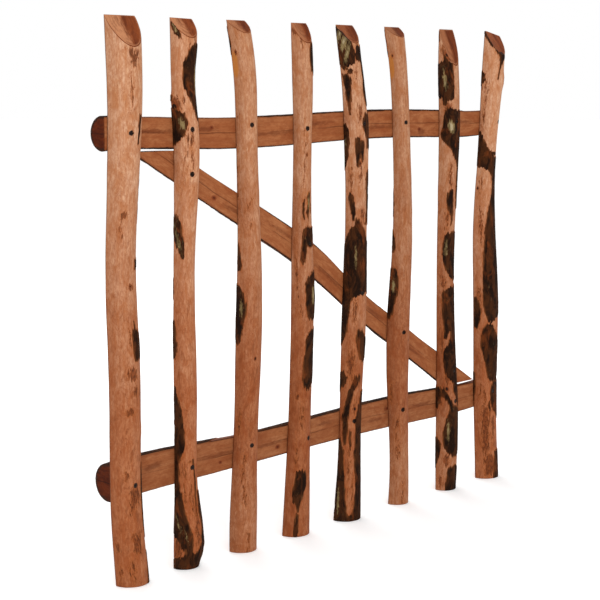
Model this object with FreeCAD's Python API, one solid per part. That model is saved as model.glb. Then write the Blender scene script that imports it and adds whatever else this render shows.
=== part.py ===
"""Rustic picket gate leaf: eight split hazel pickets screwed to two split rails and a diagonal brace.

Frame: +Z up, -Y is the front (the round side of the pickets), +X to the right as seen from the front.
The origin is at the middle of the leaf's footprint, on the ground under the pickets.
While it is being made, the leaf stands with the left end of its rails at X = 0 and with the joint face,
where the flat backs of the pickets meet the flat fronts of the rails, at Y = 0.
"""
import FreeCAD, Part
import math
import os

V = FreeCAD.Vector

# ---- driving dimensions, in millimetres ----------------------------------------------------------
LEAF_HEIGHT = 900.0            # pickets, from the ground to the upper edge of their cut tops
RAIL_LENGTH = 985.0            # both rails have the same length
BOTTOM_RAIL_HEIGHT = 174.0     # middle of the bottom rail above the ground
TOP_RAIL_DROP = 180.0          # middle of the top rail below the picket tops
FIRST_PICKET_INSET = 30.0      # left end of the rails to the middle of the first picket
LAST_PICKET_INSET = 10.0       # middle of the last picket to the right end of the rails

PICKET_PAST_MIDDLE = 2.0       # the saw passes this far behind the heart of a picket's log
RAIL_PAST_MIDDLE = 7.0         # and this far in front of the heart of a rail's log
BRACE_PAST_MIDDLE = 3.0        # or of the brace's
PICKET_THICKEN = 0.0           # added to the half width of every picket
RAIL_THICKEN = 0.6             # of the rails
BRACE_THICKEN = -0.3           # and of the brace

BRACE_TOP_REACH = 108.0        # left end of the rails to the middle of the brace's upper end
BRACE_FOOT_REACH = 88.0        # right end of the rails to the middle of the brace's lower end
BUTT_GAP = 1.5                 # drying gap between a rail's edge and the sawn end of the brace

SCREW_LENGTH = 45.0
SCREW_SHANK = 3.5              # diameters
SCREW_HEAD = 7.0
SCREW_HEAD_RIM = 0.4           # straight rim above the cone of the head
SCREW_TIP = 5.0                # length of the pointed end
SCREW_SINK = 0.8               # head below the wood at its shallow side
DRIVE_WIDTH = 1.0              # cross recess
DRIVE_SPAN = 4.0
DRIVE_DEPTH = 1.6
SHANK_CLEARANCE = 0.2          # on the radius of the hole through a picket
PILOT_CLEARANCE = 0.0          # on the radius of the hole in a rail or the brace: the thread bites
HEAD_CLEARANCE = 0.4           # on the radius of the countersink
TIP_CLEARANCE = 1.0            # hole deeper than the screw's point

OVERCUT = 80.0                 # how far cutting blocks and log ends run past the wood
BLOCK = 3000.0                 # side of a cutting block

# ---- the logs' natural shapes --------------------------------------------------------------------
# Each station: how far along the log (0 bottom or left, 1 top or right), how far its heart wanders
# sideways there, and its half width there, both in millimetres.
# stray:  the picket's middle beside its even place;  drop: how far its slanted top cut falls from the
# flat back to a depth of one half width;  tilt: how far the cut falls from left to right across the top;
# ledge: how much of the top's left side is left level.
PICKETS = {
    "picket_1": dict(stray=0.0, drop=46.0, tilt=0.0, stations=[
        (0.00, 7.0, 30.0), (0.10, -1.0, 28.5), (0.30, -3.0, 28.0), (0.50, -6.5, 27.5),
        (0.70, -1.0, 27.6), (0.88, 6.0, 31.0), (1.00, 3.0, 31.5)]),
    "picket_2": dict(stray=-7.0, drop=28.0, tilt=1.0, stations=[
        (0.00, -4.0, 22.5), (0.05, 1.5, 28.0), (0.12, 0.0, 23.5), (0.30, -1.0, 21.8), (0.60, 0.5, 20.2),
        (0.80, 5.5, 23.5), (0.90, 0.0, 21.5), (0.955, 2.0, 24.5), (1.00, 0.5, 23.5)]),
    "picket_3": dict(stray=-4.0, drop=20.0, tilt=0.0, stations=[
        (0.00, -10.0, 27.0), (0.10, -7.5, 26.5), (0.22, -2.0, 24.0), (0.40, 6.0, 26.0), (0.60, 9.0, 23.0),
        (0.80, 4.5, 21.0), (0.91, 0.0, 22.0), (1.00, -16.0, 22.0)]),
    "picket_4": dict(stray=-3.0, drop=30.0, tilt=0.0, stations=[
        (0.00, -15.0, 28.5), (0.10, -10.0, 26.0), (0.30, -1.0, 23.0), (0.50, 4.0, 23.5), (0.60, 3.0, 21.0),
        (0.80, 5.0, 19.3), (0.94, 3.0, 21.3), (1.00, 0.0, 19.5)]),
    "picket_5": dict(stray=-4.0, drop=31.0, tilt=0.0, stations=[
        (0.00, -12.0, 29.0), (0.10, -6.0, 25.0), (0.20, -3.0, 23.2), (0.40, 5.5, 26.3), (0.60, 11.0, 23.3),
        (0.80, 9.0, 25.7), (0.90, -1.5, 23.5), (1.00, -17.0, 23.5)]),
    "picket_6": dict(stray=-5.0, drop=18.0, tilt=0.0, stations=[
        (0.00, 3.0, 23.6), (0.20, 1.0, 23.0), (0.38, -2.0, 26.0), (0.50, 6.0, 23.7), (0.60, 10.0, 21.5),
        (0.80, 3.0, 19.4), (0.90, -4.0, 19.6), (1.00, -21.0, 21.5)]),
    "picket_7": dict(stray=5.0, drop=56.0, tilt=0.0, stations=[
        (0.00, 4.5, 24.0), (0.18, 5.0, 26.0), (0.30, 1.0, 22.7), (0.50, -4.0, 20.0), (0.70, 0.0, 22.7),
        (0.86, 0.0, 24.6), (0.95, -4.0, 23.2), (1.00, -3.0, 21.0)]),
    "picket_8": dict(stray=-1.0, drop=38.0, tilt=10.0, ledge=8.0, stations=[
        (0.00, 10.0, 28.5), (0.10, 4.0, 28.0), (0.30, -2.0, 29.8), (0.40, -3.5, 30.6), (0.60, -12.0, 25.5),
        (0.75, -3.5, 22.0), (0.88, 6.5, 26.0), (1.00, 16.0, 25.5)]),
}
TOP_RAIL = [(0.00, -1.0, 26.0), (0.20, -4.0, 25.0), (0.42, -3.0, 25.5), (0.62, 3.0, 25.0),
            (0.80, 2.0, 25.0), (1.00, 2.0, 23.0)]
BOTTOM_RAIL = [(0.00, -5.0, 29.8), (0.20, -1.0, 28.5), (0.40, 0.0, 25.5), (0.60, 4.0, 27.0),
               (0.76, 3.0, 28.0), (1.00, 3.0, 25.5)]
BRACE = [(0.00, -3.0, 23.0), (0.12, 1.0, 22.5), (0.25, 9.0, 24.0), (0.40, 16.5, 25.5), (0.50, 13.0, 24.5),
         (0.58, 6.0, 22.8), (0.68, 1.5, 23.0), (0.80, 1.0, 23.0), (0.92, 0.5, 24.5), (1.00, 0.0, 25.0)]

# How far each screw strays sideways from the crown of its picket and upwards from the middle of the rail.
TOP_SCREWS = {
    "picket_1": (-4.5, 1.5), "picket_2": (-2.5, 6.5), "picket_3": (-3.0, 11.5), "picket_4": (-3.0, 2.0),
    "picket_5": (2.0, 4.0), "picket_6": (-2.5, 3.0), "picket_7": (2.0, 3.0), "picket_8": (9.0, 0.0)}
BOTTOM_SCREWS = {
    "picket_1": (-1.0, -3.0), "picket_2": (-2.0, -1.0), "picket_3": (-3.0, 12.0), "picket_4": (6.0, 0.0),
    "picket_5": (-7.0, 8.0), "picket_6": (-6.0, 8.0), "picket_7": (3.0, 2.0), "picket_8": (-3.0, 5.0)}
BRACE_SCREWS = {
    "picket_2": (-2.0, -6.0), "picket_4": (3.0, 10.0), "picket_5": (0.0, 4.0), "picket_6": (-6.0, 6.0),
    "picket_7": (3.0, 0.0)}


# ---- natural shapes ------------------------------------------------------------------------------
def heart_and_radius(stations, along, thicken):
    """The log's sideways wander and half width at a point along it, between its stations."""
    before = stations[0]
    for after in stations[1:]:
        if along <= after[0]:
            share = (along - before[0]) / (after[0] - before[0])
            wander = before[1] + share * (after[1] - before[1])
            return wander, before[2] + share * (after[2] - before[2]) + thicken
        before = after
    return before[1], before[2] + thicken


def log(stations, start, end, sideways, depth, thicken):
    """A round log from start to end. Its heart wanders along the vector sideways and lies depth along Y."""
    run = end - start
    axis = V(run.x, run.y, run.z).normalize()
    rings = []
    for along, wander, half_width in stations:
        middle = start + run * along + sideways * wander + V(0, depth, 0)
        rings.append(Part.Wire([Part.makeCircle(half_width + thicken, middle, axis)]))
    return Part.makeLoft(rings, True, False)


def extended(stations, length):
    """The same stations with a short straight run past both ends, so that an end can be sawn off clean."""
    first, last = stations[0], stations[-1]
    more = OVERCUT / length
    return [(-more, first[1], first[2])] + stations + [(1 + more, last[1], last[2])]


def block_behind(y):
    return Part.makeBox(BLOCK, BLOCK, BLOCK, V(-BLOCK / 2, y, -BLOCK / 2))


def block_before(y):
    return Part.makeBox(BLOCK, BLOCK, BLOCK, V(-BLOCK / 2, y - BLOCK, -BLOCK / 2))


def block_above(z):
    return Part.makeBox(BLOCK, BLOCK, BLOCK, V(-BLOCK / 2, -BLOCK / 2, z))


def block_below(z):
    return Part.makeBox(BLOCK, BLOCK, BLOCK, V(-BLOCK / 2, -BLOCK / 2, z - BLOCK))


# ---- places --------------------------------------------------------------------------------------
PICKET_PITCH = (RAIL_LENGTH - FIRST_PICKET_INSET - LAST_PICKET_INSET) / (len(PICKETS) - 1)
TOP_RAIL_Z = LEAF_HEIGHT - TOP_RAIL_DROP


def picket_middle(name):
    index = list(PICKETS).index(name)
    return FIRST_PICKET_INSET + index * PICKET_PITCH + PICKETS[name]["stray"]


def rail_edge(stations, rail_z, x, side):
    """Height of a rail's upper (side 1) or lower (side -1) flat edge at a distance x from its left end."""
    wander, radius = heart_and_radius(stations, x / RAIL_LENGTH, RAIL_THICKEN)
    return rail_z + wander + side * radius


def brace_ends():
    """Middles of the brace's two sawn ends, each a drying gap away from the rail that it faces."""
    top_x = BRACE_TOP_REACH
    foot_x = RAIL_LENGTH - BRACE_FOOT_REACH
    fall = rail_edge(TOP_RAIL, TOP_RAIL_Z, top_x, -1) - rail_edge(BOTTOM_RAIL, BOTTOM_RAIL_HEIGHT, foot_x, 1)
    lean = math.atan2(fall, foot_x - top_x)
    ends = []
    for x, station, stations, rail_z, side in ((top_x, BRACE[0], TOP_RAIL, TOP_RAIL_Z, -1),
                                               (foot_x, BRACE[-1], BOTTOM_RAIL, BOTTOM_RAIL_HEIGHT, 1)):
        reach = (station[2] + BRACE_THICKEN) / math.sin(lean)
        across = [x + share * reach for share in (-1, -0.5, 0, 0.5, 1)]
        edge = max(side * rail_edge(stations, rail_z, place, side) for place in across)
        ends.append(V(x, 0, side * (edge + BUTT_GAP)))
    return ends


def brace_height(x):
    """Height of the brace's middle line at a distance x from the left end of the rails."""
    top, foot = brace_ends()
    along = (x - top.x) / (foot.x - top.x)
    wander, _ = heart_and_radius(BRACE, along, BRACE_THICKEN)
    lean = math.atan2(top.z - foot.z, foot.x - top.x)
    return top.z + along * (foot.z - top.z) + wander / math.cos(lean)


# ---- wooden pieces -------------------------------------------------------------------------------
def picket(name):
    """A half log, round side to the front: flat back at Y = 0, slanted top, square foot."""
    shape = PICKETS[name]
    middle = picket_middle(name)
    stations = extended(shape["stations"], LEAF_HEIGHT)
    start = V(middle, 0, 0)
    end = V(middle, 0, LEAF_HEIGHT)
    wood = log(stations, start, end, V(1, 0, 0), -PICKET_PAST_MIDDLE, PICKET_THICKEN)
    wood = wood.cut(block_behind(0)).cut(block_below(0))
    _, wander, half_width = shape["stations"][-1]
    fall = math.degrees(math.atan2(shape["drop"], half_width))
    lean = math.degrees(math.atan2(shape["tilt"], 2 * half_width))
    corner = V(middle + wander - half_width + shape.get("ledge", 0.0), 0, LEAF_HEIGHT)
    level = block_above(LEAF_HEIGHT)
    knife = level.copy()
    knife.rotate(corner, V(1, 0, 0), fall)
    knife.rotate(corner, V(0, 1, 0), lean)
    return wood.cut(level).cut(knife)


def rail(stations, height):
    """A half log, round side to the back: flat front at Y = 0, both ends sawn square."""
    start = V(0, 0, height)
    end = V(RAIL_LENGTH, 0, height)
    wood = log(stations, start, end, V(0, 0, 1), RAIL_PAST_MIDDLE, RAIL_THICKEN)
    return wood.cut(block_before(0))


def brace():
    """A bowed half log between the rails, flat front at Y = 0, both ends sawn level with the rails."""
    top, foot = brace_ends()
    run = foot - top
    upwards = V(-run.z, 0, run.x).normalize()
    stations = extended(BRACE, run.Length)
    wood = log(stations, top, foot, upwards, BRACE_PAST_MIDDLE, BRACE_THICKEN)
    return wood.cut(block_before(0)).cut(block_above(top.z)).cut(block_below(foot.z))


# ---- screws --------------------------------------------------------------------------------------
def turned(profile, place):
    """A solid turned about the Y axis from (radius, depth) corners, with depth 0 at place."""
    points = [V(radius, depth, 0) + place for radius, depth in profile]
    face = Part.Face(Part.makePolygon(points + points[:1]))
    return face.revolve(place, V(0, 1, 0), 360)


def screw(place):
    """A countersunk wood screw. Its head's flat is centred on place and it points along +Y."""
    head = SCREW_HEAD / 2
    shank = SCREW_SHANK / 2
    cone_end = SCREW_HEAD_RIM + head - shank
    body = turned([(0, 0), (head, 0), (head, SCREW_HEAD_RIM), (shank, cone_end),
                   (shank, SCREW_LENGTH - SCREW_TIP), (0, SCREW_LENGTH)], place)
    for span_x, span_z in ((DRIVE_SPAN, DRIVE_WIDTH), (DRIVE_WIDTH, DRIVE_SPAN)):
        corner = place + V(-span_x / 2, -DRIVE_DEPTH, -span_z / 2)
        body = body.cut(Part.makeBox(span_x, 2 * DRIVE_DEPTH, span_z, corner))
    return body


def picket_hole(place):
    """Clearance hole and countersink for a screw, open to the front of its picket."""
    head = SCREW_HEAD / 2 + HEAD_CLEARANCE
    shank = SCREW_SHANK / 2 + SHANK_CLEARANCE
    cone_end = SCREW_HEAD_RIM + head - shank
    return turned([(0, -OVERCUT), (head, -OVERCUT), (head, SCREW_HEAD_RIM), (shank, cone_end),
                   (shank, SCREW_LENGTH), (0, SCREW_LENGTH)], place)


def pilot_hole(place):
    """Hole for the thread in a rail or the brace, a little deeper than the screw's point."""
    radius = SCREW_SHANK / 2 + PILOT_CLEARANCE
    return turned([(0, 0), (radius, 0), (radius, SCREW_LENGTH + TIP_CLEARANCE),
                   (0, SCREW_LENGTH + TIP_CLEARANCE)], place)


def screw_place(name, stray_x, z):
    """Where a screw's head sits: just under the round face of its picket, at height z."""
    shape = PICKETS[name]
    wander, radius = heart_and_radius(shape["stations"], z / LEAF_HEIGHT, PICKET_THICKEN)
    shallow = min(abs(stray_x) + SCREW_HEAD / 2, 0.9 * radius)
    crown = PICKET_PAST_MIDDLE + math.sqrt(radius ** 2 - shallow ** 2)
    return V(picket_middle(name) + wander + stray_x, SCREW_SINK - crown, z)


def rail_screw_places(strays, stations, rail_z):
    places = {}
    for name, (stray_x, stray_z) in strays.items():
        wander, _ = heart_and_radius(stations, picket_middle(name) / RAIL_LENGTH, RAIL_THICKEN)
        places[name] = screw_place(name, stray_x, rail_z + wander + stray_z)
    return places


def brace_screw_places():
    return {name: screw_place(name, stray_x, brace_height(picket_middle(name)) + stray_z)
            for name, (stray_x, stray_z) in BRACE_SCREWS.items()}


# ---- the leaf ------------------------------------------------------------------------------------
def drilled(wood, places, hole):
    for place in places:
        wood = wood.cut(hole(place))
    return wood


def make_leaf():
    groups = {
        "top_rail_screws": rail_screw_places(TOP_SCREWS, TOP_RAIL, TOP_RAIL_Z),
        "bottom_rail_screws": rail_screw_places(BOTTOM_SCREWS, BOTTOM_RAIL, BOTTOM_RAIL_HEIGHT),
        "brace_screws": brace_screw_places(),
    }
    nodes = {}
    for name in PICKETS:
        own = [places[name] for places in groups.values() if name in places]
        nodes[name] = drilled(picket(name), own, picket_hole)
    nodes["top_rail"] = drilled(rail(TOP_RAIL, TOP_RAIL_Z), groups["top_rail_screws"].values(), pilot_hole)
    nodes["bottom_rail"] = drilled(rail(BOTTOM_RAIL, BOTTOM_RAIL_HEIGHT),
                                   groups["bottom_rail_screws"].values(), pilot_hole)
    nodes["diagonal_brace"] = drilled(brace(), groups["brace_screws"].values(), pilot_hole)
    for group, places in groups.items():
        nodes[group] = Part.makeCompound([screw(place) for place in places.values()])
    return nodes


def centre_on_footprint(nodes):
    """Move every piece so that the leaf's box is centred on X = 0 and Y = 0 and stands on Z = 0."""
    whole = Part.makeCompound(list(nodes.values())).optimalBoundingBox(False, False)
    for shape in nodes.values():
        shape.translate(V(-whole.Center.x, -whole.Center.y, -whole.ZMin))
    return whole


leaf = make_leaf()
box = centre_on_footprint(leaf)
os.makedirs("parts", exist_ok=True)
for node, shape in leaf.items():
    shape.exportStep("parts/%s.step" % node)
    print(node, "solids", len(shape.Solids), "valid", shape.isValid(), "volume", round(shape.Volume))
print("leaf box", round(box.XLength, 2), round(box.YLength, 2), round(box.ZLength, 2))
print("joint face at Y", round(-box.Center.y, 3), "rails' left end at X", round(-box.Center.x, 3))
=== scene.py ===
"""Looks of a rustic picket gate leaf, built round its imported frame. Metres, +Z up, -Y is the front.

Every split log is read from its CAD node and made again as a dense closed mesh with its own bark, knots,
scars, sawn faces and screw holes. The colours come from procedural materials that read what the mesh carries.
"""
import bpy
import math
import numpy as np
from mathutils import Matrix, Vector
from mathutils.bvhtree import BVHTree


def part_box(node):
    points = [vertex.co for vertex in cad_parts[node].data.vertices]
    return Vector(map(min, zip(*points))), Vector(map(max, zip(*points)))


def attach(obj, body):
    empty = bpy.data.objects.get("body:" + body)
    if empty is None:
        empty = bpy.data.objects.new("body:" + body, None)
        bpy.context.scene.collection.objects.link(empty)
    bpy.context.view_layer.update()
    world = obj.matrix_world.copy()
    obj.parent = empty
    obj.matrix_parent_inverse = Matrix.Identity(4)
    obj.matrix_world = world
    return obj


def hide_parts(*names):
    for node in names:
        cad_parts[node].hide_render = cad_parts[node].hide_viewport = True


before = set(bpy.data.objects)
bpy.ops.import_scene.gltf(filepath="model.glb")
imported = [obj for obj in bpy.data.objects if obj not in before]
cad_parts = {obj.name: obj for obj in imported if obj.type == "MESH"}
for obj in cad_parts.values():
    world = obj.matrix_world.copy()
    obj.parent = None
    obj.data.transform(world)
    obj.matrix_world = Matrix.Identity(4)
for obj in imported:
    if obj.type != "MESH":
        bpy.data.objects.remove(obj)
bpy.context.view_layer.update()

MM = 0.001

# ---- measuring a log ----
FAR = 1.0               # where measuring rays start
SAMPLE_STEP = 8 * MM    # how often a log is measured along it
ASIDE = 30 * MM         # sideways reach of the search for a log's ends
RUN_ON = 60 * MM        # how far its measured line is run on past both ends
TOP_PROBES = ((-6 * MM, 5 * MM), (6 * MM, 5 * MM), (0, 12 * MM))  # rays on a slanted top: sideways, outwards
TOP_DROP = 12 * MM      # the slanted top is found from the picket's middle this far below its tip
SCREW_SPREAD = 9 * MM   # points closer than this to each other belong to one screw

# ---- mesh density ----
RING_STEP = 1.7 * MM    # along a log
ARC_POINTS = 66         # round the bark side
FLAT_POINTS = 28        # across the split face
CAP_RINGS = 14          # on a sawn end
FIRST_RING = 0.035      # the outermost of them lies this share of the way in from the edge

# ---- relief, as lengths ----
PICKET_HEART = 2 * MM   # heart of the log above its flat face
RAIL_HEART = 7 * MM
BRACE_HEART = 3 * MM
PEEL_DEPTH = 0.35 * MM  # peeled wood below the log's measured size
BARK_HEIGHT = 1.0 * MM  # bark above the peeled wood
EDGE_WEAR = 0.7 * MM    # worn edges
FLAT_DEPTH = 0.12 * MM  # sawn face below the joint plane
CAP_DEPTH = 0.3 * MM    # sawn ends below the log's measured length
SCREW_GAP = 0.4 * MM    # between a screw's head and its countersink
SCREW_PIT = 1.5 * MM    # floor of a countersink below the head's flat
SNAP = 0.8 * MM         # how far a point may move to lie on the rim of a screw hole
HOLE_SHADE_FADE = 0.7 * MM   # how soon the painted shade in and round a screw hole fades
ROUND_SIDE = 4 * MM     # holes are only made this far in front of the joint plane

# ---- relief, in plain millimetres ----
LUMPS, FLUTES, FIBRES, FLAKES = 0.55, 0.25, 0.08, 0.35  # swells, long hollows, grain, loose bark
SAWN_LINES = 0.10       # grain and saw marks on the flat face
SCAR_DEPTH = 0.35
HALF_ARC, HALF_FLAT = 45, 26  # from a log's crown, or the middle of its flat face, to the edge
WORN_WIDTH = 1.6        # of the worn strip along an edge
NOWHERE = -30.0         # level of a mark where there is none
CALM = 3.2              # the relief is calm round a screw hole out to this many of its radii

# ---- noise ----
_rng = np.random.RandomState(11)
_order = np.concatenate([_rng.permutation(256)] * 3)
_slopes = _rng.normal(size=(256, 3))
_slopes /= np.linalg.norm(_slopes, axis=1)[:, None]


def noise(points, seed):
    """Smooth gradient noise between about -1 and 1 for an (n, 3) array of points."""
    points = points + np.array([12.7, 5.3, 9.1]) * (seed + 1)
    cell = np.floor(points).astype(int)
    part = points - cell
    fade = part ** 3 * (part * (part * 6 - 15) + 10)
    total = np.zeros(len(points))
    for corner in range(8):
        step = np.array([corner & 1, corner >> 1 & 1, corner >> 2 & 1])
        at = (cell + step) & 255
        slope = _slopes[_order[_order[_order[at[:, 0]] + at[:, 1]] + at[:, 2]]]
        weight = np.prod(np.where(step, fade, 1 - fade), axis=1)
        total += weight * np.sum(slope * (part - step), axis=1)
    return total * 1.6


def rough(points, octaves, seed):
    """Several sizes of noise added up, each half the size and strength of the one before."""
    total, strength = 0.0, 1.0
    for octave in range(octaves):
        total = total + strength * noise(points * 2 ** octave, seed + 7 * octave)
        strength *= 0.5
    return total / 1.6


def smooth(value, low, high):
    """A smooth step from 0 to 1 as the value goes from low to high."""
    share = np.clip((value - low) / (high - low), 0, 1)
    return share * share * (3 - 2 * share)


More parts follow.
